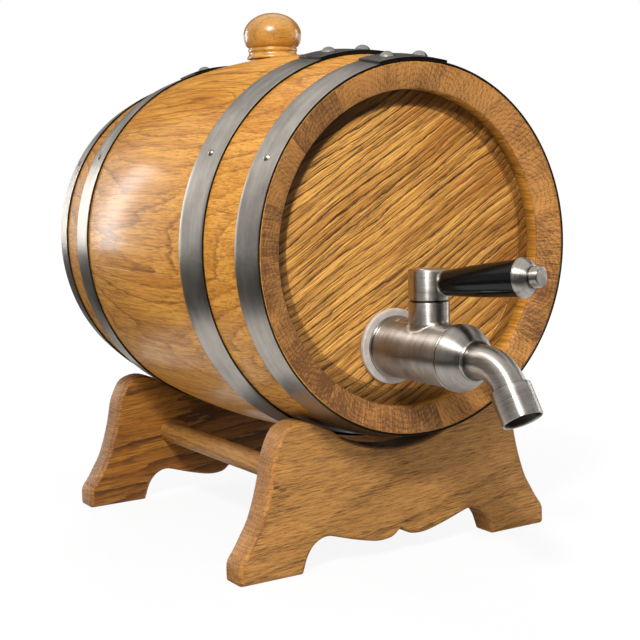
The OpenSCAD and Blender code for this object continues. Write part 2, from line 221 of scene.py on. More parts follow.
def fillet(points, cut=0.4, steps=3, closed=False):
    """Round an outline's corners; cut is how far before a corner the curve starts."""
    out = []
    n = len(points)
    for i, p in enumerate(points):
        p = Vector(p)
        a, b = Vector(points[i - 1]) - p, Vector(points[(i + 1) % n]) - p
        shortest = min(a.length, b.length)
        if ((not closed and i in (0, n - 1)) or shortest < 1e-6
                or a.normalized().dot(b.normalized()) < -0.985):
            out.append(tuple(p))
            continue
        c = min(cut, 0.45 * shortest)
        a, b = p + a * c / a.length, p + b * c / b.length
        out += [tuple(curve(a, p, b, k / steps)) for k in range(steps + 1)]
    return out


def bridge(bm, loops, closed=False):
    """Faces between neighbouring loops of vertices; an open run is closed by its end loops."""
    n = len(loops[0])
    for a, b in zip(loops, loops[1:] + (loops[:1] if closed else [])):
        for k in range(n):
            j = (k + 1) % n
            bm.faces.new((a[k], a[j], b[j], b[k]))
    if not closed:
        bm.faces.new(loops[0])
        bm.faces.new(list(reversed(loops[-1])))


def full_turn(n):
    """The angles of n even steps round a circle."""
    return [2 * pi * k / n for k in range(n)]


def circle(bm, r, h, segments):
    """The vertices of a circle round Z, or the one in its middle."""
    if r < 1e-6:
        return [bm.verts.new((0, 0, h))]
    return [bm.verts.new((r * cos(t), r * sin(t), h)) for t in full_turn(segments)]


def lathe(profile, segments=96, closed=False):
    """Revolve (radius, height) points round Z; a closed outline becomes a ring."""
    bm = bmesh.new()
    rings = [circle(bm, r, h, segments) for r, h in profile]
    for a, b in zip(rings, rings[1:] + (rings[:1] if closed else [])):
        for k in range(segments):
            j = (k + 1) % segments
            quad = [a[k % len(a)], a[j % len(a)], b[j % len(b)], b[k % len(b)]]
            quad = list(dict.fromkeys(quad))
            if len(quad) > 2:
                bm.faces.new(quad)
    return bm


def bent_round(bm, outline, turn):
    """The vertices of a (radius, along) outline, turned by degrees round the cask's axis."""
    c, s = cos(rad(turn)), sin(rad(turn))
    return [bm.verts.new((r * c, r * s, a)) for r, a in outline]


def skin(a0, a1, n, rise=0.0):
    """(radius, along) points on the cask's skin."""
    spots = [a0 + (a1 - a0) * i / n for i in range(n + 1)]
    return [(outer(a) + rise, a) for a in spots]


def combined(target, tool, place, operation):
    """A new bmesh: the target with the tool, put in its place, cut away or joined on."""
    meshes = [to_mesh("scratch", bm) for bm in (target, tool)]
    meshes[1].transform(place)
    objects = [link("scratch", mesh) for mesh in meshes]
    mod = objects[0].modifiers.new("combine", "BOOLEAN")
    mod.operation, mod.object, mod.solver = operation, objects[1], "EXACT"
    bpy.context.view_layer.update()
    settled = objects[0].evaluated_get(bpy.context.evaluated_depsgraph_get())
    meshes.append(bpy.data.meshes.new_from_object(settled))
    bm = bmesh.new()
    bm.from_mesh(meshes[-1])
    for obj in objects:
        bpy.data.objects.remove(obj)
    for mesh in meshes:
        bpy.data.meshes.remove(mesh)
    return bm


# ---- materials
MIX_A, MIX_B, MIX_OUT = 6, 7, 2       # the colour sockets of Blender's Mix node


class Nodes:
    """Builds the node tree of a material or of the world."""

    def __init__(self, owner, shader="BsdfPrincipled", out="OutputMaterial"):
        owner.use_nodes = True
        self.owner, self.tree = owner, owner.node_tree
        self.tree.nodes.clear()
        self.out, self.shader = self.add(out), self.add(shader)
        self.tree.links.new(self.shader.outputs[0], self.out.inputs[0])

    def add(self, kind, inputs=None, **settings):
        """A new node; inputs holds a value or another node's socket for its own sockets."""
        node = self.tree.nodes.new("ShaderNode" + kind)
        for k, v in settings.items():
            setattr(node, k, v)
        for k, v in (inputs or {}).items():
            self.plug(node, k, v)
        return node

    def plug(self, node, name, value):
        """Link another node's socket to an input, or set the input's own value."""
        socket = node.inputs[name]
        if isinstance(value, bpy.types.NodeSocket):
            self.tree.links.new(value, socket)
        else:
            socket.default_value = (*value, 1) if socket.type == "RGBA" else value

    def math(self, op, a, b=0.0, c=0.0):
        return self.add("Math", {0: a, 1: b, 2: c}, operation=op).outputs[0]

    def times(self, a, b):
        return self.math("MULTIPLY", a, b)

    def mul_add(self, a, b, c):
        return self.math("MULTIPLY_ADD", a, b, c)

    def plus(self, a, b):
        return self.math("ADD", a, b)

    def minus(self, a, b):
        return self.math("SUBTRACT", a, b)

    def attr(self, name, kind="Fac"):
        """What finish_piece wrote for the vertices."""
        return self.add("Attribute", attribute_name=name).outputs[kind]

    def noise(self, vector, scale=1.0, detail=2.0, rough=0.5):
        return self.add("TexNoise", {
            "Vector": vector, "Scale": scale, "Detail": detail, "Roughness": rough}).outputs["Fac"]

    def ramp(self, fac, *stops):
        """A colour between stops, which are (position, colour)."""
        node = self.add("ValToRGB", {"Fac": fac})
        while len(node.color_ramp.elements) < len(stops):
            node.color_ramp.elements.new(0.5)
        for e, (pos, colour) in zip(node.color_ramp.elements, stops):
            e.position, e.color = pos, (*colour, 1)
        return node.outputs["Color"]

    def speckle(self, low, high, scale, detail):
        """A noise in the object's own space, and a colour that wanders with it."""
        place = self.add("TexCoord").outputs["Object"]
        f = self.noise(place, scale, detail)
        return f, self.ramp(f, (0.3, low), (0.7, high))

    def step(self, value, low, high):
        """0 below low, 1 above high, smooth between."""
        return self.add("MapRange", {"Value": value, "From Min": low, "From Max": high},
                        interpolation_type="SMOOTHSTEP", clamp=True).outputs["Result"]

    def mix(self, fac, a, b):
        return self.add("Mix", {"Factor": fac, MIX_A: a, MIX_B: b},
                        data_type="RGBA").outputs[MIX_OUT]

    def bump(self, height, strength, distance):
        return self.add("Bump", {
            "Height": height, "Strength": strength, "Distance": distance}).outputs["Normal"]

    def surface(self, **values):
        """Set the shader's sockets, by Blender's own names in small letters."""
        for k, v in values.items():
            self.plug(self.shader, k.replace("_", " ").title().replace("Ior", "IOR"), v)
        return self.owner


def new_material(name, shader="BsdfPrincipled"):
    return Nodes(bpy.data.materials.new(name), shader)


def srgb(r, g, b):
    """A colour read as 0-255 screen values, as the linear value that a shader takes."""
    def lin(c):
        c /= 255
        return c / 12.92 if c <= 0.04045 else ((c + 0.055) / 1.055) ** 2.4
    return lin(r), lin(g), lin(b)


def shade(colour, k):
    return tuple(min(1.0, c * k) for c in colour)


def grain_space(n):
    """The wood or brushing space in mm, and a maker of stretched copies of it."""
    sep = n.add("SeparateXYZ", {0: n.attr("grain", "Vector")})
    x, y, z = (n.times(c, 1 / MM) for c in sep.outputs)

    def cells(across, along, shift=0.0, deep=None):
        return n.add("CombineXYZ", {
            0: n.mul_add(x, 1 / across, shift), 1: n.mul_add(y, 1 / along, shift * 0.7),
            2: n.times(z, 1 / (deep or across))}).outputs[0]

    return x, y, z, cells


def oak(name, light, mid, dark, ring, pith, lean, sway, ripple, line, streaks, fibres, clouds,
        relief, fine, long, pores=0.9, jitter=0.35, fade=0.42, rough=0.5, coat=0.06,
        coat_rough=0.3, shine=0.25):
    """Solid oak: yearly rings round a pith line, open pores, fibres, streaks and clouds.

    In grain space X runs across the board, Y along the grain and Z into the depth. Ring is
    a year's width and pith the middle of the tree, in mm; the rings wander by sway, ripple
    and jitter, from wide to narrow. Line, streaks, fibres, pores and clouds are strengths;
    fine and long are the fibres' width and length."""
    n = new_material(name)
    x, y, z, cells = grain_space(n)
    light, mid, dark = srgb(*light), srgb(*mid), srgb(*dark)

    def centred(value):
        return n.minus(value, 0.5)

    drift = centred(n.noise(cells(36, 170), detail=2))
    waves = centred(n.noise(cells(13, 75, 3), detail=3, rough=0.6))
    ragged = centred(n.noise(cells(1.8, 11, 7), detail=3, rough=0.6))
    dx = n.plus(x, n.mul_add(drift, 2 * sway, -pith[0]))
    dz = n.plus(z, n.mul_add(y, lean, -pith[1]))
    dz = n.mul_add(drift, sway, dz)
    away = n.math("SQRT", n.plus(n.times(dx, dx), n.times(dz, dz)))
    phase = n.mul_add(waves, ripple, n.math("DIVIDE", away, ring))
    phase = n.mul_add(ragged, jitter, phase)
    # early wood is the dark, porous start of each year; thin lines run between the years
    saw = n.math("FRACT", phase)
    early = n.plus(n.minus(1.0, n.step(saw, 0.0, fade)), n.step(saw, 0.94, 1.0))
    broken = n.step(n.noise(cells(11, 130, 5), detail=3), 0.30, 0.56)
    early = n.times(early, broken)
    saw2 = n.math("FRACT", n.mul_add(phase, 3.3, n.times(waves, 2.0)))
    thin = n.times(n.minus(1.0, n.step(saw2, 0.0, 0.55)),
                   n.step(n.noise(cells(6, 60, 8), detail=2), 0.40, 0.62))

    fibre = n.noise(cells(1.15 * fine, long, 1), detail=5, rough=0.7)
    hair = n.noise(cells(0.5 * fine, 0.6 * long, 9), detail=3, rough=0.7)
    streak = n.noise(cells(3.2 * fine, 110, 2), detail=4, rough=0.65)
    cloud = n.noise(cells(20, 110, 4), detail=3, rough=0.5)
    dash = n.step(n.noise(cells(0.7 * fine, 9, 6), detail=2, rough=0.7), 0.58, 0.66)
    pore = n.times(dash, n.mul_add(early, 0.7, 0.3))

    level = n.mul_add(centred(cloud), 2.0 * clouds, n.plus(n.attr("tone"), 0.5))
    level = n.mul_add(centred(saw), 0.5 * line, level)
    base = n.ramp(level, (0.1, mid), (0.5, light), (0.92, shade(light, 1.22)))
    # the last share darkens the wood, mostly by painted shade and shadow, as written for each
    # vertex
    for share, colour in (
            (n.times(n.step(streak, 0.42, 0.72), streaks), mid),
            (n.times(n.step(fibre, 0.44, 0.72), fibres), dark),
            (n.times(n.step(hair, 0.50, 0.74), 0.8 * fibres), dark),
            (n.times(thin, 0.5 * line), dark), (n.times(early, line), dark),
            (n.times(pore, pores), shade(dark, 0.4)), (n.attr("dirt_and_shade"), shade(dark, 0.3))):
        base = n.mix(share, base, colour)
    height = n.mul_add(fibre, 0.8, n.times(saw, 0.4))
    for part, depth in ((hair, 0.5), (early, 0.5), (thin, 0.25), (pore, 0.7)):
        height = n.mul_add(part, -depth, height)
    return n.surface(
        base_color=base, roughness=n.mul_add(centred(fibre), 0.3, rough),
        normal=n.bump(height, relief, 0.0005), coat_weight=coat, coat_roughness=coat_rough,
        specular_ior_level=shine)


def oak_end(name, light, dark, rough=0.6, coat=0.06):
    """End grain: curved yearly bands of pores, crossed by fine rays."""
    n = new_material(name)
    x, y, z, cells = grain_space(n)
    light, dark = srgb(*light), srgb(*dark)
    middle = tuple((a + b) / 2 for a, b in zip(light, dark))
    warp = n.noise(cells(9, 60), detail=2)
    away = n.math("SQRT", n.plus(n.times(x, x), n.math("POWER", n.plus(z, 46.0), 2.0)))
    saw = n.math("FRACT", n.mul_add(warp, 2.2, n.math("DIVIDE", away, 2.6)))
    early = n.plus(n.minus(1.0, n.step(saw, 0.0, 0.5)), n.step(saw, 0.9, 1.0))
    speck = n.noise(cells(0.75, 60), detail=3, rough=0.65)
    rays = n.noise(cells(0.8, 60, 4, deep=9), detail=2)
    cloud = n.noise(cells(16, 60, 2), detail=2)
    pore = n.times(n.step(n.noise(cells(0.6, 60, 8), detail=1), 0.58, 0.7),
                   n.mul_add(early, 0.7, 0.3))
    level = n.plus(n.times(speck, 0.55), n.times(rays, 0.55))
    level = n.mul_add(n.minus(cloud, 0.5), 0.4, level)
    level = n.mul_add(n.minus(level, 0.55), 1.5, n.plus(0.52, n.attr("tone")))
    level = n.mul_add(early, -0.12, level)
    base = n.ramp(level, (0.27, dark), (0.50, middle), (0.73, light))
    base = n.mix(n.times(pore, 0.7), base, shade(dark, 0.45))
    # darkened by painted shade and shadow, as written for each vertex
    base = n.mix(n.attr("dirt_and_shade"), base, shade(dark, 0.35))
    height = n.mul_add(pore, -0.8, speck)
    return n.surface(base_color=base, roughness=rough, normal=n.bump(height, 0.4, 0.0004),
                     coat_weight=coat, coat_roughness=0.35)


def steel(name, tint, dark, rough, brush, fine=0.5, bump=0.12, blotch=0.5, spread=0.0):
    """Brushed or rolled steel; grain space Y runs along the brushing, as the brush vector does.

    Spread is how far the brushing draws its highlights out, across the brush marks."""
    n = new_material(name)
    cells = grain_space(n)[-1]
    lines = n.noise(cells(*brush), detail=4, rough=0.7)
    broad = n.noise(cells(brush[0] * 2.6, brush[1] * 1.5, 3), detail=4, rough=0.7)
    cloud = n.noise(cells(13, 22, 6), detail=4, rough=0.65)
    f = n.plus(n.times(lines, fine), n.times(broad, 1 - fine))
    f = n.plus(n.times(f, 1 - blotch), n.times(cloud, blotch))
    base = n.ramp(f, (0.30, srgb(*dark)), (0.68, srgb(*tint)))
    # darkened by grime and by painted shade, contact shade and dark reflections, as written for
    # each vertex
    base = n.mix(n.attr("dirt_and_shade"), base, GRIME_AND_SHADE)
    if spread:
        brushed = n.add("VectorTransform", {0: n.attr("brush", "Vector")},
                        vector_type="VECTOR", convert_from="OBJECT", convert_to="WORLD")
        across = n.add(
            "VectorMath", {0: brushed.outputs[0], 1: n.add("NewGeometry").outputs["Normal"]},
            operation="CROSS_PRODUCT")
        n.surface(tangent=across.outputs[0], anisotropic=spread)
    return n.surface(
        base_color=base, metallic=1.0, roughness=n.mul_add(n.minus(f, 0.5), 0.4, rough),
        normal=n.bump(lines, bump, 0.0003))


def even(name, low, high, scale, detail, rough, wander=0.0, relief=0.0, **values):
    """An even material whose colour, and with wander its roughness too, varies a little."""
    n = new_material(name)
    f, base = n.speckle(low, high, scale, detail)
    if relief:
        values["normal"] = n.bump(f, relief, 0.0002)
    if wander:
        rough = n.mul_add(f, wander, rough)
    return n.surface(base_color=base, roughness=rough, **values)


# the dark that steel turns to, by grime and by painted shade and dark reflections
GRIME_AND_SHADE = (0.012, 0.010, 0.008)
MAT = {
    "stave": oak(
        "oak_stave", (217, 154, 63), (184, 118, 38), (100, 54, 16), ring=3.8, pith=(6, -62),
        lean=0.035, sway=11, ripple=0.8, line=0.48, fade=0.22, streaks=0.8, fibres=0.72,
        pores=0.8, clouds=0.5, rough=0.45, coat=0.26, coat_rough=0.17, shine=0.12,
        relief=0.12, fine=0.8, long=36),
    "head": oak(
        "oak_head", (220, 162, 80), (172, 110, 42), (62, 32, 9), ring=4.1, pith=(-150, -50),
        lean=0.02, sway=8, ripple=1.1, jitter=0.5, line=0.95, fade=0.22, streaks=0.85,
        fibres=1.0, pores=1.0, clouds=0.7, rough=0.62, coat=0.03, relief=0.6, fine=0.5,
        long=24),
    "board": oak(
        "oak_board", (184, 131, 68), (150, 100, 46), (80, 47, 17), ring=3.0, pith=(14, -95),
        lean=0.03, sway=6, ripple=1.1, line=0.22, streaks=0.3, fibres=0.8, clouds=0.16,
        relief=1.0, fine=0.48, long=9),
    # darker, more figured oak for the rear board; its darkness is partly painted shade of its
    # place under the cask
    "board_dark": oak(
        "oak_board_dark", (162, 106, 40), (132, 79, 24), (58, 30, 8), ring=5.0, pith=(14, -60),
        lean=0.05, sway=16, ripple=1.6, line=0.8, streaks=0.9, fibres=0.85, clouds=0.9,
        relief=0.42, fine=0.6, long=20),
    "bung": oak(
        "oak_bung", (188, 134, 54), (158, 105, 36), (98, 58, 18), ring=5.5, pith=(26, -30),
        lean=0.3, sway=6, ripple=1.2, line=0.25, streaks=0.4, fibres=0.45, clouds=0.6,
        rough=0.36, coat=0.8, coat_rough=0.18, shine=0.4, relief=0.06, fine=1.2, long=8),
    "end": oak_end("oak_end", (184, 126, 60), (94, 57, 21)),
    "board_end": oak_end("oak_board_end", (180, 122, 52), (112, 69, 24), 0.55, 0.03),
    "hoop": steel(
        "hoop_steel", (190, 183, 173), (128, 122, 114), 0.36, (0.9, 90), bump=0.07, spread=0.6),
    "hoop_edge": steel(
        "hoop_edge_steel", (70, 66, 62), (28, 25, 22), 0.55, (0.8, 8), blotch=0.6),
    "rivet": steel("rivet_steel", (186, 181, 174), (92, 88, 83), 0.30, (1.5, 4), blotch=0.4),
    "tap": steel(
        "tap_steel", (218, 211, 202), (114, 107, 99), 0.40, (0.35, 20), fine=0.6, bump=0.03,
        blotch=0.48, spread=0.9),
    "black": even("black_gloss", (0.002,) * 3, (0.004,) * 3, 600, 3, 0.13, wander=0.06,
                  specular_ior_level=0.3),
    "rubber": even(
        "milky_rubber", srgb(168, 158, 150), srgb(192, 182, 174), 220, 3, 0.42, relief=0.05,
        subsurface_weight=0.5, subsurface_scale=0.6, subsurface_radius=(0.004, 0.0035, 0.003),
        transmission_weight=0.12),
    "white": even("white_plastic", srgb(228, 228, 224), srgb(240, 240, 238), 300, 2, 0.5,
                  relief=0.04),
}

# ---- painted shade, shadow and dark reflections
REST_SHADE = 0.88         # painted contact shade on the cask where it rests on the stand
SADDLE_SHADE = 0.85       # painted contact shade on the boards' saddles, under the cask
GROOVE_SHADE = 0.5        # painted shade on the wall between the rim and an end
CORNER_SHADE = 0.92       # painted shade in the corner between an end and the staves, at most
LAP_DARK_REFLECTION = 0.62          # painted dark reflection round a hoop's lap
TAP_SHADOW_TURN = -104         # degrees, where the tap's painted shadow lies on the cask's front


def tap_shadow(angle):
    """How much of the tap's painted shadow reaches a turn (radians) round the cask's front."""
    return ease(cos(angle - rad(TAP_SHADOW_TURN)), 0.78, 0.97)


def resting(p):
    """1 at the cask's underside, where the stand holds it, 0 on its flanks and top."""
    return 1 - ease(abs(degrees(atan2(p.y, p.x)) + 90), 29, 41)


def dark_rings(*spans):
    """Darkening for a turned piece's grooves, grime and painted shade together: each span is
    (from, to, how dark) along the axis.
    """
    return lambda p: max([0.0] + [dark for low, high, dark in spans if low <= p.z <= high])


# ---- staves
END_TONE = 0.07          # how much paler the end grain is at the upper right
TONE_SPREAD = 0.16       # how far a stave's tone strays from the others'
BEVEL = 0.04             # degrees, about 0.07 mm on the skin
GRAIN_R = 104            # mm of wood space for a radian round the cask


def stave_section(inset=0.0):
    """(radius, along) outline of a stave, closed; inset shrinks its visible edges."""
    top = skin(-HALF, HALF, 64, -inset)
    inner_a = HALF - SETBACK - HEAD_T - 2
    groove, groove_r = HALF - CROZE, CHIME_R + CROZE_DEEP
    end = [(CHIME_R + inset, HALF - CHIME_DEPTH - inset), (CHIME_R + 0.2 + inset, groove),
           (groove_r, groove), (groove_r, groove - CROZE_W), (CHIME_R + 0.8, groove - CROZE_W)]
    inner = skin(inner_a, -inner_a, 16, -STAVE_T)
    back = [(r, -a) for r, a in reversed(end)]
    loop = top + end + inner + back
    shrunk = [(r, max(-HALF + inset, min(HALF - inset, a))) for r, a in loop]
    return fillet(shrunk, cut=0.9, closed=True)


def stave(i):
    """One stave; the first is the top one, with the bung hole."""
    total = sum(STAVE_SHARE)
    width = 360 * STAVE_SHARE[i] / total
    start = 90 - 180 * STAVE_SHARE[0] / total + 360 * sum(STAVE_SHARE[:i]) / total
    rng = random.Random(40 + i)
    edge = [(0.005, 0.06), (BEVEL, 0.01), (3 * BEVEL, 0.0)]      # (turn, inset) of the bevel
    rounds = ([(start + turn, inset) for turn, inset in edge]
              + [(start + width * k / 8, 0.0) for k in range(1, 8)]
              + [(start + width - turn, inset) for turn, inset in reversed(edge)])
    bm = bmesh.new()
    bridge(bm, [bent_round(bm, stave_section(inset), angle) for angle, inset in rounds])
    if i == 0:
        bore = lathe([(0, 0), (BORE_TIP_R, 0), (BORE_R, BORE_L), (0, BORE_L)], 64)
        bm = combined(bm, bore, Matrix.Translation((0, 0, -BUNG_Y)) @ Z_TO_Y
                      @ Matrix.Translation((0, 0, BILGE_R - BORE_DEEP)), "DIFFERENCE")
    # the stave's ends, and the little wall inside the rim, show end grain
    for f in bm.faces:
        mid = f.calc_center_median()
        if abs(mid.z) > HALF - CHIME_DEPTH - 0.7 and radius(mid) < outer(mid.z) - 0.6:
            f.material_index = 1
    off = (rng.uniform(-28, 28), rng.uniform(-2000, 2000), rng.uniform(-14, 14))
    flip = rng.choice((-1, 1))
    mid_angle = rad(start + width / 2)

    def grain(p):
        turn = (atan2(p.y, p.x) - mid_angle + pi) % (2 * pi) - pi
        return (turn * GRAIN_R + off[0], flip * p.z + off[1], radius(p) - 100 + off[2])

    own = rng.uniform(-TONE_SPREAD, TONE_SPREAD)
    at_end = END_TONE * cos(mid_angle - rad(60)) + rng.uniform(-TONE_SPREAD, TONE_SPREAD)

    def tone(p):
        return at_end if abs(p.z) > HALF - 6 and radius(p) < outer(p.z) - 0.5 else own

    def dirt_and_shade(p):
        """Painted contact shade where the cask rests, a darker line on the rim's outer edge, and
        inside the rim painted shade with the tap's painted shadow.
        """
        far, deep = radius(p), HALF - abs(p.z)
        # inside the rim: painted shade, darker further in
        if far < CHIME_R + 5:
            # the tap's painted shadow on the wall inside the rim, at the front
            tap_shadow_share = 0.35 * tap_shadow(atan2(p.y, p.x)) if p.z > 0 else 0.0
            return ease(deep, CHIME_DEPTH + 0.5, CHIME_DEPTH + 4) * (GROOVE_SHADE + tap_shadow_share)
        if deep < 1:
            return 0.35 if deep < 0.3 and far > RIM_R - 1.5 else 0.0
        # painted contact shade on the underside, towards the ends
        return REST_SHADE * resting(p) * ease(abs(p.z), QUARTER_MID - 12, QUARTER_MID)

    finish_piece("oak_stave_%02d" % (i + 1), bm, CASK, "cask", ["stave_%02d" % (i + 1)],
                 ["stave", "end"], grain, tone, sharp=40, dirt_and_shade=dirt_and_shade)


for i in range(len(STAVE_SHARE)):
    stave(i)


# ---- round ends
HEAD_GRAIN = {"front": 31, "rear": -24}    # degrees, how steeply the grain climbs
TONGUE_R = CHIME_R + 3.2
TONGUE = (HALF - CROZE - 3.95, HALF - CROZE - 0.05)


def head(end):
    """A round end with a flat middle, a sloping border and a tongue in the groove."""
    flat_r, face, inside = CHIME_R - 7.9, HALF - SETBACK, HALF - SETBACK - HEAD_T
    outline = [(0, face), (flat_r - 1.6, face), (flat_r - 0.5, face), (flat_r - 0.1, face - 0.55),
               (flat_r + 0.4, face), (flat_r + 1.8, face - 0.6), (CHIME_R - 0.4, HALF - CROZE),
               (TONGUE_R, TONGUE[1]), (TONGUE_R, TONGUE[0]), (CHIME_R - 1, TONGUE[0]),
               (CHIME_R - 6, inside), (0, inside)]
    turn = rad(HEAD_GRAIN[end])
    c, s = cos(turn), sin(turn)
    front = end == "front"

    def grain(p):
        return (-p.x * s + p.y * c, p.x * c + p.y * s, p.z * 0.2)

    def dirt_and_shade(p):
        """Painted shade in the corner all round, the rim's painted shadow at the upper left, and
        the tap's painted shadow.
        """
        angle, far = atan2(p.y, p.x), radius(p)
        # the rim's painted shadow, strongest at the upper left
        toward_rim_shadow = 0.5 + 0.5 * cos(angle - rad(130))
        border_shade = 0.3 + (CORNER_SHADE - 0.3) * toward_rim_shadow ** 2
        border_shade *= ease(far, flat_r - 1.1, flat_r + 0.9)
        # the tap's painted shadow on the front end's border, below the tap
        tap_shadow_share = 0.55 * tap_shadow(angle) * ease(far, flat_r - 2, flat_r + 1) if front else 0.0
        return max(border_shade, tap_shadow_share)

    def tone(p):
        """Darker towards the upper right: painted shade."""
        return -0.4 * ease(p.x * 0.85 + p.y * 0.5, 20, 62)

    place = CASK if front else CASK @ Matrix.Rotation(pi, 4, "Y")
    finish_piece("oak_end_" + end, lathe(fillet(outline), 192), place, "cask",
                 ["head_" + end], ["head"], grain, tone, dirt_and_shade=dirt_and_shade)


head("front")
head("rear")


# ---- hoops
def hoop(which, span, lap, side):
    """A steel strip bent round the cask, its end lapped over its start and riveted."""
    low, high = span
    mid = 90 - lap
    bm = bmesh.new()

    def strip(angles, rise, closed):
        section = skin(low, high, 8, rise + HOOP_T)
        section += [(outer(a) + rise + PLAY, a) for a in (high, low)]
        section = fillet(section, cut=0.35, steps=2, closed=True)
        bridge(bm, [bent_round(bm, section, t) for t in angles], closed)

    strip([HOOP_STEP * k for k in range(round(360 / HOOP_STEP))], 0.0, True)
    strip([mid - LAP_HALF + LAP_HALF * k / 10 for k in range(21)], HOOP_T, False)

    def grain(p):
        turn = atan2(p.y, p.x)
        return (p.z + (11 if side > 0 else 77) + low * 3, turn * 100, radius(p))

    def dirt_and_shade(p):
        """Painted dark reflection round the lap, and painted contact shade where the hoop rests on
        the stand.
        """
        turn = degrees(atan2(p.y, p.x))
        at_lap = 1 - ease(abs(turn - mid), LAP_HALF - 1, LAP_HALF + 12)
        return max(LAP_DARK_REFLECTION * at_lap, REST_SHADE * resting(p))

    bmesh.ops.recalc_face_normals(bm, faces=bm.faces)
    for f in bm.faces:
        f.normal_update()
        f.material_index = 1 if abs(f.normal.z) > 0.8 else 0
    place = CASK if side > 0 else CASK @ Matrix.Scale(-1, 4, (0, 0, 1))
    finish_piece("hoop_%s_strip" % which, bm, place, "cask", ["hoop_" + which],
                 ["hoop", "hoop_edge"], grain, sharp=30, brush=around_axis,
                 dirt_and_shade=dirt_and_shade)


hoop("rim_front", RIM_HOOP, RIM_LAP, 1)
hoop("quarter_front", QUARTER_HOOP, QUARTER_LAP, 1)
hoop("quarter_rear", QUARTER_HOOP, QUARTER_LAP, -1)
hoop("rim_rear", RIM_HOOP, RIM_LAP, -1)

HOOP_MIDDLES = ((RIM_MID, RIM_LAP), (QUARTER_MID, QUARTER_LAP),
                (-QUARTER_MID, QUARTER_LAP), (-RIM_MID, RIM_LAP))


def domes(name, node, places, r, h, shank_r, shank_l):
    """Round-headed fasteners with their shanks, all in one mesh."""
    ball = (r * r + h * h) / (2 * h)
    half_turn = asin(min(1, r / ball))
    dome = [(ball * sin(half_turn * k / 8), h - ball + ball * cos(half_turn * k / 8))
            for k in range(1, 8)]
    profile = [(0, h), *dome, (r, 0.12), (r - 0.1, 0), (shank_r, 0), (shank_r, -shank_l),
               (0, -shank_l)]
    bm = bmesh.new()
    for place in places:
        mesh = to_mesh("dome", lathe(profile, 32))
        mesh.transform(place)
        bm.from_mesh(mesh)
        bpy.data.meshes.remove(mesh)
    finish_piece(name, bm, Matrix(), "cask", [node], ["rivet"], tuple)


domes("hoop_rivet_heads", "hoop_rivets",
      [on_skin(lap + s * RIVET_SPREAD, a, 2 * HOOP_T + PLAY)
       for a, lap in HOOP_MIDDLES for s in (-1, 1)], *RIVET)
domes("hoop_nail_heads", "hoop_nails",
      [on_skin(t, a, HOOP_T + PLAY) for t in (-NAIL_ANGLE, NAIL_ANGLE) for a, _ in HOOP_MIDDLES],
      *NAIL)


# ---- stand
# Half of a board's outline: the saddle is an arc, and each corner after it is
# (x, z, how far from the corner its rounding starts).
SADDLE_Z, SADDLE_R, SADDLE_TURN = 59.7, 76.0, 34.5
SADDLE = [(SADDLE_R * sin(t), SADDLE_Z + SADDLE_R * (1 - cos(t)), 0)
          for t in [rad(SADDLE_TURN * i / 12) for i in range(13)]]
HORN = [(61, 81.2, 7.5), (72.1, 76.6, 4.2), (78, 64.9, 5), (80.1, 53, 5), (83.2, 41.2, 6),
        (87.2, 30, 4), (95.3, 16.7, 2.6), (100, 10.6, 3), (100, 0, 2.2)]
ARCH = [(62.4, 0, 1), (59.3, 9, 2.7), (55.6, 14.3, 3.4), (48, 18.2, 4.8), (28, 11.9, 7.4),
        (13.5, 8.6, 5.8), (5.2, 10, 2.3), (0, 14.2, 0)]
BOARD_TILT = 4           # degrees, how far the boards' grain climbs


def board_outline(inset):
    """The outline moved into the wood by inset, as a closed list of points."""
    half = SADDLE + HORN + ARCH
    corners = half + [(-x, z, c) for x, z, c in half[-2:0:-1]]
    n = len(corners)
    moved = []
    for k in range(n):
        p, q, r = (Vector(corners[j % n][:2]) for j in (k - 1, k, k + 1))
        n1, n2 = (q - p).normalized(), (r - q).normalized()
        n1, n2 = Vector((n1.y, -n1.x)), Vector((n2.y, -n2.x))
        cut = corners[k][2]
        if cut:
            turn = (n1.x * n2.y - n1.y * n2.x) / (1 + n1.dot(n2))
            cut = max(0.3, cut + inset * turn)
        moved.append((q + (n1 + n2) / (1 + n1.dot(n2)) * inset, cut))
    out = []
    for k, (p, cut) in enumerate(moved):
        if not cut:
            out.append(p)
            continue
        a, b = (p + (moved[j % n][0] - p).normalized() * cut for j in (k - 1, k + 1))
        out += [curve(a, p, b, t) for t in (0, 0.25, 0.5, 0.75, 1)]
    return out


def board(end, y_front, seed, tone, wood):
    """A shaped board with rounded edges, its grain running across the cask."""
    arc = [rad(t) for t in (0, 22, 45, 68, 90)]
    levels = [(EDGE_R * (1 - sin(t)), EDGE_R * (1 - cos(t))) for t in arc]
    levels += [(inset, BOARD_T - depth) for inset, depth in reversed(levels)]
    bm = bmesh.new()
    bridge(bm, [[bm.verts.new((p.x, y_front + depth, p.y)) for p in board_outline(inset)]
                for inset, depth in levels])
    # the upright parts of the rim show end grain, the two flat faces don't
    for f in bm.faces:
        run = (f.verts[1].co - f.verts[0].co).normalized()
        f.material_index = 1 if len(f.verts) == 4 and abs(run.z) > 0.8 else 0
    rng = random.Random(seed)
    off = (rng.uniform(-30, 30), rng.uniform(-900, 900), rng.uniform(-10, 10))
    c, s = cos(rad(BOARD_TILT)), sin(rad(BOARD_TILT))

    def grain(p):
        return (p.z * c - p.x * s - 40 + off[0], p.x * c + p.z * s + off[1],
                p.y - y_front + off[2])

    def dirt_and_shade(p):
        """Painted contact shade where the cask rests."""
        gap = SADDLE_R - hypot(p.x, p.z - SADDLE_Z - SADDLE_R)
        on_edge = abs(p.y - y_front - BOARD_T / 2) < BOARD_T / 2 - 0.05
        under = abs(p.x) < 40 and p.z > 55
        return SADDLE_SHADE * (1 - ease(abs(gap), 0.5, 4)) if on_edge and under else 0.0

    finish_piece("board_" + end, bm, Matrix(), "stand", ["stand_board_" + end],
                 [wood, "board_end"], grain, tone, sharp=34, dirt_and_shade=dirt_and_shade)


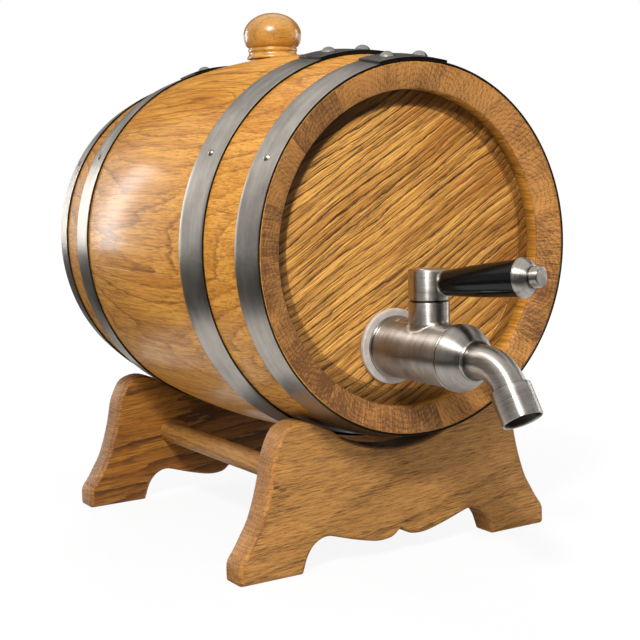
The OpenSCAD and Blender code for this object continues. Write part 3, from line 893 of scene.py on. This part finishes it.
board("front", SHIFT - BOARD_OUT, 5, 0.03, "board")
# the rear board is toned darker, partly painted shade
board("rear", SHIFT + BOARD_IN, 9, -0.1, "board_dark")


def dowel(hand, x, seed):
    """A rod let into both boards."""
    reach = BOARD_IN + DOWEL_LET_IN
    outline = fillet([(0, -reach), (DOWEL_R, -reach), (DOWEL_R, reach), (0, reach)], 0.8)
    off = random.Random(seed).uniform(-20, 20)
    place = Matrix.Translation((x, SHIFT, DOWEL_Z)) @ Matrix.Rotation(rad(90), 4, "X")
    finish_piece("dowel_" + hand, lathe(outline, 48), place, "stand", ["stand_dowel_" + hand],
                 ["board"], lambda p: (p.x + off, p.z + off * 9, p.y), 0.4)


dowel("left", -DOWEL_X, 3)
dowel("right", DOWEL_X, 4)


# ---- bung
def bung():
    """A turned knob with a beaded foot, on a tapered plug."""
    mid = 0.51 * BUNG_TALL
    outline = [(0, -PLUG_L), (PLUG_TIP_R, -PLUG_L), (PLUG_R, 0.1)]
    outline += [(BUNG_R - waist, h) for waist, h in (
        (1.8, 0.1), (1.7, 1), (2.9, 2.6), (3.1, 3.8), (2.5, 4.4), (2.5, 5.6), (3.1, 6.2))]
    for i in range(1, 13):
        t = rad(90 - 7.5 * i)
        outline.append((BUNG_R - 3.4 + 3.4 * cos(t), mid - (mid - 6.6) * sin(t)))
    for i in range(1, 24):
        t = rad(3.75 * i)
        outline.append((BUNG_R * cos(t), mid + (BUNG_TALL - mid) * sin(t)))
    outline += [(0, BUNG_TALL)]
    place = Matrix.Translation((0, SHIFT + BUNG_Y, AXIS_Z + BILGE_R))
    finish_piece("bung_turned", lathe(fillet(outline, steps=2)), place, "bung", ["bung"],
                 ["bung"], lambda p: (p.z + 12, p.x + 30, p.y + 6), 0.1, sharp=40)


bung()


# ---- tap
def around(p):
    """Grain for a turned piece: brushing runs round the axis."""
    return (p.z, atan2(p.y, p.x) * 12, radius(p))


def turned(name, profile, place, body, nodes, mat="tap", cut=0.35,
           closed=False, dirt_and_shade=None):
    """A piece turned from a (radius, height) outline; a closed outline is a ring's section."""
    bm = lathe(fillet(profile, cut, closed=closed), closed=closed)
    finish_piece(name, bm, place, body, nodes, [mat], around, sharp=38,
                 brush=around_axis, dirt_and_shade=dirt_and_shade)


def ring_section(r, hole_r, low, high):
    return [(r, low), (r, high), (hole_r, high), (hole_r, low)]


def tap_barrel():
    """The barrel with its flange rings and the upright neck that carries the lever."""
    profile = [(0, -TAIL_L), (TAIL_R, -TAIL_L), (TAIL_R, WASHER_T), (FLANGE_R, WASHER_T),
               (FLANGE_R, 4.4), (GROOVE_R, 4.8), (GROOVE_R, 5.1), (BEAD_R, 5.4), (BEAD_R, 6.1),
               (TAP_R, 6.4), (TAP_R, BARREL_END - 0.01), (0, BARREL_END - 0.01)]
    neck = fillet([(0, 4), (NECK_R, 4), (NECK_R, GAP_H), (0, GAP_H)], 0.5)
    bm = combined(lathe(fillet(profile, cut=0.35)), lathe(neck),
                  Matrix.Translation((0, 0, STEM_A)) @ Z_TO_Y, "UNION")

    def from_neck(p):
        return hypot(p.x, p.z - STEM_A)

    # a small weld fillet where the neck meets the barrel
    seam = [e for e in bm.edges
            if all(abs(radius(v.co) - TAP_R) < 0.05
                   and abs(from_neck(v.co) - NECK_R) < 0.05 and v.co.y > 5 for v in e.verts)]
    bmesh.ops.bevel(bm, geom=seam, offset=1.6, segments=4, affect="EDGES", profile=0.5)

    def on_neck(p):
        return p.y > TAP_R - 1 and from_neck(p) < NECK_R + 1.7

    def grain(p):
        return (p.y, atan2(p.z - STEM_A, p.x) * 10, 0) if on_neck(p) else around(p)

    def brush(p):
        if not on_neck(p):
            return around_axis(p)
        far = from_neck(p) or 1
        return (-(p.z - STEM_A) / far, 0, p.x / far)

    # grime over the barrel, and grime with painted shade in its ring grooves
    grooves = dark_rings((0, BARREL_END, 0.14), (2.9, 3.3, 0.6), (4.6, 5.3, 0.85),
                         (6.3, 6.5, 0.3))

    # the neck's top, in the gap under the hub, gets painted shade
    def dirt_and_shade(p):
        if on_neck(p):
            return 0.7 if p.y > GAP_H - 0.1 else 0.0
        return grooves(p)

    finish_piece("tap_barrel", bm, TAP, "cask", ["tap_body"], ["tap"], grain,
                 brush=brush, dirt_and_shade=dirt_and_shade)


tap_barrel()
turned("tap_seal_washer", ring_section(WASHER_R, WASHER_HOLE_R, 0, WASHER_T), TAP, "cask",
       ["tap_washer"], "rubber", cut=0.9, closed=True)
turned("tap_inner_washer", ring_section(INNER_WASHER_R, WASHER_HOLE_R, *INNER_WASHER), TAP,
       "cask", ["inner_washer"], "rubber", cut=0.6, closed=True)


def dome_collar():
    """The swelling cone between barrel and spout, with a groove at its foot."""
    rise = COLLAR_END - BARREL_END
    foot = 2.6
    pts = [(SPOUT_BORE_R, -13), (WASHER_HOLE_R, -13), (WASHER_HOLE_R, 0), (COLLAR_R, 0),
           (COLLAR_R, 0.9), (COLLAR_R - 0.8, 1.1), (COLLAR_R - 0.8, 1.7), (COLLAR_R, 1.9),
           (COLLAR_R, foot)]
    for i in range(1, 17):
        u = i / 16
        swell = COLLAR_SWELL * 4 * u * (1 - u)
        pts.append((COLLAR_R + (SPOUT_R + 1 - COLLAR_R) * u + swell,
                    foot + (rise - foot) * u + swell))
    pts += [(SPOUT_R + 0.05, rise), (SPOUT_R + 0.05, rise - 6), (SPOUT_BORE_R, rise - 6)]
    # grime over the collar, and grime with painted shade in its groove and at its joints
    dirt_and_shade = dark_rings((BARREL_END, COLLAR_END, 0.16), (BARREL_END - 0.1, BARREL_END + 0.2, 0.6),
                      (BARREL_END + 1.05, BARREL_END + 1.75, 0.9),
                      (COLLAR_END - 0.3, COLLAR_END + 0.1, 0.7))
    turned("tap_dome_collar", [(r, h + BARREL_END) for r, h in pts], TAP, "cask",
           ["tap_collar"], cut=0.25, closed=True, dirt_and_shade=dirt_and_shade)


dome_collar()


def spout():
    """A tube that leaves the collar level and bends down, with a ring at its root."""
    steps, segments = 28, 64
    bm = bmesh.new()

    def bend(t):
        """The tube's middle and its direction, t radians into the bend."""
        c, s = cos(t), sin(t)
        return Vector((0, -SPOUT_BEND * (1 - c), SPOUT_START + SPOUT_BEND * s)), Vector((0, -s, c))

    def bend_at(p):
        return atan2(p.z - SPOUT_START, SPOUT_BEND + p.y) if p.z > SPOUT_START else 0.0

    def ring(centre, tangent, r):
        across = Vector((1, 0, 0))
        side = tangent.cross(across).normalized()
        return [bm.verts.new(centre + r * (across * cos(t) + side * sin(t)))
                for t in full_turn(segments)]

    level = Vector((0, 0, 1))
    path = [(Vector((0, 0, COLLAR_END + h)), level, SPOUT_R + rise)
            for h, rise in ((-5.9, 0), (0.02, 0), (0.05, 1.6), (0.35, 1.9), (1.6, 1.9),
                            (1.95, 1.6), (2.0, 0.3), (2.3, 0), (SPOUT_START - COLLAR_END, 0))]
    path += [(*bend(rad(SPOUT_ANGLE * i / steps)), SPOUT_R) for i in range(1, steps + 1)]
    inside = [(c, t, SPOUT_BORE_R) for c, t, r in reversed(path) if r < SPOUT_R + 0.1]
    bridge(bm, [ring(*p) for p in path + inside], closed=True)

    def grain(p):
        along = p.z if p.z < SPOUT_START else SPOUT_START + bend_at(p) * SPOUT_BEND
        return (atan2(p.x, p.y) * 8, along * 0.6, 0)

    def brush(p):
        """Polished round the tube."""
        middle, run = bend(bend_at(p))
        middle.z = middle.z if p.z > SPOUT_START else p.z
        return run.cross(p - middle).normalized()

    # grime and painted shade at the spout's root and at its ring
    dirt_and_shade = dark_rings((COLLAR_END - 0.1, COLLAR_END + 0.2, 0.8),
                      (COLLAR_END + 1.97, COLLAR_END + 2.4, 0.7))
    finish_piece("tap_bent_spout", bm, TAP, "cask", ["tap_spout"], ["tap"], grain,
                 brush=brush, dirt_and_shade=dirt_and_shade)


spout()
# the sleeve's foot and bore get painted shade
turned("spout_sleeve",
       [(SPOUT_BORE_R, 0), (SLEEVE_R, 0), (SLEEVE_R, SLEEVE_L), (SLEEVE_BORE_R + 0.5, SLEEVE_L),
        (SLEEVE_BORE_R, SLEEVE_L - 1), (SLEEVE_BORE_R, SLEEVE_STEP), (SPOUT_BORE_R, SLEEVE_STEP)],
       SPOUT_TIP, "cask", ["outlet_sleeve"], cut=0.3, closed=True,
       dirt_and_shade=lambda p: 0.7 if p.z < 0.2 or radius(p) < SLEEVE_BORE_R + 0.2 else 0.0)

# ---- lever
# the hub's underside, over the gap, gets painted shade
turned("lever_hub_turned",
       [(0, HUB_H), (NECK_R - 0.6, HUB_H), (NECK_R - 0.1, HUB_H + 0.5),
        (NECK_R - 0.1, HUB_TOP - 0.7), (NECK_R - 0.8, HUB_TOP), (0, HUB_TOP)],
       UPRIGHT, "lever", ["lever_hub"], cut=0.5, dirt_and_shade=dark_rings((HUB_H - 0.1, HUB_H + 0.3, 0.7)))
turned("lever_root",
       [(0, 5), (ROD_R, 5), (ROD_R, GRIP_FROM - 1.6), (FERRULE_R, GRIP_FROM - 1.5),
        (FERRULE_R, GRIP_FROM - 0.1), (ROD_R, GRIP_FROM - 0.02), (ROD_R, GRIP_TO + 1),
        (0, GRIP_TO + 1)], LEVER, "lever", ["lever_rod"])


def grip():
    """The black handle, a ring round the rod that thickens towards its end."""
    hole_r, end = ROD_R + 0.1, GRIP_TO - 0.01
    swell = [(6.25 + 4.6 * u - 1.8 * u * u, GRIP_FROM + 0.4 + (GRIP_TO - GRIP_FROM - 0.4) * u)
             for u in [k / 24 for k in range(25)]]
    turned("lever_black_grip",
           [(hole_r, GRIP_FROM), (5.8, GRIP_FROM), *swell, (8.7, end), (hole_r, end)],
           LEVER, "lever", ["lever_grip"], "black", cut=0.5, closed=True)


grip()
CAP = [(0, 0.02), (9.4, 0.02), (9.7, 0.3), (9.7, 1.2), (9.3, 2.4), (8.4, 3.8), (7.2, 5), (6, 5.9),
       (4.6, 6.1), (4.6, 6.6), (5.05, 6.9), (5.05, 10.5), (4.6, CAP_L), (0, CAP_L)]
# grime and painted shade at the cap's root and in its neck groove
turned("lever_end_cap", [(r, GRIP_TO + h) for r, h in CAP], LEVER, "lever", ["lever_cap"],
       cut=0.3,
       dirt_and_shade=dark_rings((GRIP_TO, GRIP_TO + 0.2, 0.7), (GRIP_TO + 6.05, GRIP_TO + 6.7, 0.75)))

# inner pieces keep their CAD shape and get a material
for key, nodes in (("tap", ("lock_nut", "valve_ball", "valve_stem")),
                   ("white", ("valve_seat_rear", "valve_seat_front", "stem_seal"))):
    for node in nodes:
        materials = frame["nodes"][node].data.materials
        materials.clear()
        materials.append(MAT[key])


# ---- camera, light, floor
SKY, FLOOR_GLOW = 0.15, (0.86, 0.98)  # the sky's light; the floor's glow near and far
MIDDLE = Vector((0, 0, 0.15))         # metres, what the lamps aim at
FLOOR_HALF = 6.0                      # metres
WHITE = (1, 1, 1)


def camera():
    """The photograph's viewpoint, solved from the rims, the hoops and the stand's boards."""
    place = Matrix.Translation(Vector((-402.65, -676.44 + SHIFT, 212.02)) * MM)
    turn, pitch, roll = -0.5549, 0.1195, -0.0275
    data = bpy.data.cameras.new("photo_camera")
    data.sensor_width, data.lens = 36.0, 74.68
    data.clip_start, data.clip_end = 0.01, 50
    scene.camera = link("photo_camera", data)
    scene.camera.matrix_world = (
        place @ Matrix.Rotation(turn, 4, "Z") @ Matrix.Rotation(pi / 2 - pitch, 4, "X")
        @ Matrix.Rotation(roll, 4, "Z"))


def white_where_seen(n, glow, strength=1.0, camera_share=1.0):
    """Mirrors and glass see plain white instead of the shader, and the camera by a share."""
    path = n.add("LightPath").outputs
    seen = n.times(path["Is Camera Ray"], camera_share)
    for kind in ("Is Glossy Ray", "Is Transmission Ray"):
        seen = n.math("MAXIMUM", seen, path[kind])
    white = n.add(glow, {"Color": WHITE, "Strength": strength})
    mix = n.add("MixShader", {0: seen, 1: n.shader.outputs[0], 2: white.outputs[0]})
    n.plug(n.out, 0, mix.outputs[0])


def world():
    """An even sky that the eye sees as plain white."""
    scene.world = bpy.data.worlds.new("studio")
    n = Nodes(scene.world, "Background", "OutputWorld")
    n.surface(color=WHITE, strength=SKY)
    white_where_seen(n, "Background")


def stage_mesh(name, points, faces, n, seen=True):
    """A stage object with the material that n built; seen=False leaves it to reflections."""
    mesh = bpy.data.meshes.new(name)
    mesh.from_pydata(points, [], faces)
    mesh.materials.append(n.owner)
    obj = link(name, mesh)
    obj.visible_camera = obj.visible_diffuse = obj.visible_shadow = seen
    obj.visible_transmission = seen


def floor():
    """A white floor that keeps a faint shadow near the object and melts into the background."""
    n = new_material("floor_white")
    n.surface(base_color=n.speckle((0.52,) * 3, (0.54,) * 3, 40, 2)[1], roughness=0.9)
    away = n.add("VectorMath", {0: n.add("TexCoord").outputs["Object"]}, operation="LENGTH")
    far = n.step(away.outputs["Value"], 0.15, 0.75)
    share = n.mul_add(far, FLOOR_GLOW[1] - FLOOR_GLOW[0], FLOOR_GLOW[0])
    white_where_seen(n, "Emission", 1.05, share)
    s = FLOOR_HALF
    stage_mesh("studio_floor", [(-s, -s, 0), (s, -s, 0), (s, s, 0), (-s, s, 0)], [(0, 1, 2, 3)], n)


def toward(turn, rise, distance, start=MIDDLE):
    """A place in the studio: turn in degrees from +X, rise above level."""
    c = cos(rad(rise))
    return start + distance * Vector((c * cos(rad(turn)), c * sin(rad(turn)), sin(rad(rise))))


def soft_light(name, turn, rise, distance, size, watts, mirrored=True):
    """A rectangular lamp aimed at the middle; mirrored=False hides it from reflections."""
    data = bpy.data.lights.new(name, "AREA")
    data.shape, data.size, data.size_y = "RECTANGLE", size[0], size[1]
    data.energy = watts
    lamp = link(name, data)
    lamp.location = toward(turn, rise, distance)
    lamp.rotation_euler = (MIDDLE - lamp.location).to_track_quat("-Z", "Y").to_euler()
    lamp.visible_glossy = mirrored


def dark_card(name, value, rows):
    """A dark card on the stage, from rows of points, that only reflections see."""
    n = new_material(name, "Emission")
    n.surface(color=n.speckle((value,) * 3, (value * 1.2,) * 3, 3, 1)[1])
    wide = len(rows[0])
    faces = [(k, k + 1, k + 1 + wide, k + wide) for j in range(len(rows) - 1)
             for k in range(j * wide, j * wide + wide - 1)]
    stage_mesh(name, [p for row in rows for p in row], faces, n, seen=False)


def between(span, u):
    return span[0] + (span[1] - span[0]) * u


def flag(name, turns, rises, value, distance=2.6):
    """A dark card beside the set."""
    dark_card(name, value, [
        [toward(between(turns, i / 12), between(rises, j / 4), distance) for i in range(13)]
        for j in range(5)])


def floor_flag(name, reach, value):
    """A dark ring that lies on the floor round the object."""
    dark_card(name, value, [
        [toward(15 * i, 0, r, Vector((0, 0, 0.001))) for i in range(25)] for r in reach])


camera()
world()
floor()
soft_light("key", 226, 41, 1.7, (0.22, 0.22), 25)
soft_light("front", 234, 36, 1.8, (0.9, 0.6), 8)
soft_light("high_front", 276, 56, 1.8, (0.5, 0.3), 7, mirrored=False)
soft_light("low_front", 252, 8, 1.9, (0.8, 0.4), 8, mirrored=False)
soft_light("back_left", 111, 9, 1.8, (0.18, 0.75), 5.5)
soft_light("back_fill", 62, 40, 2.0, (1.0, 0.7), 19, mirrored=False)
soft_light("right_strip", 357, 10, 1.9, (0.30, 0.9), 4)
flag("flag_front", (212, 322), (-3, 36), 0.03)
flag("flag_back_right", (-20, 96), (9, 40), 0.04)
flag("flag_left", (122, 205), (-4, 30), 0.30)
floor_flag("flag_floor", (0.34, 2.4), 0.06)
# a painted dark reflection of the shaded floor under the stand
floor_flag("flag_under", (0.0, 0.12), 0.10)

scene.view_settings.view_transform = "Standard"
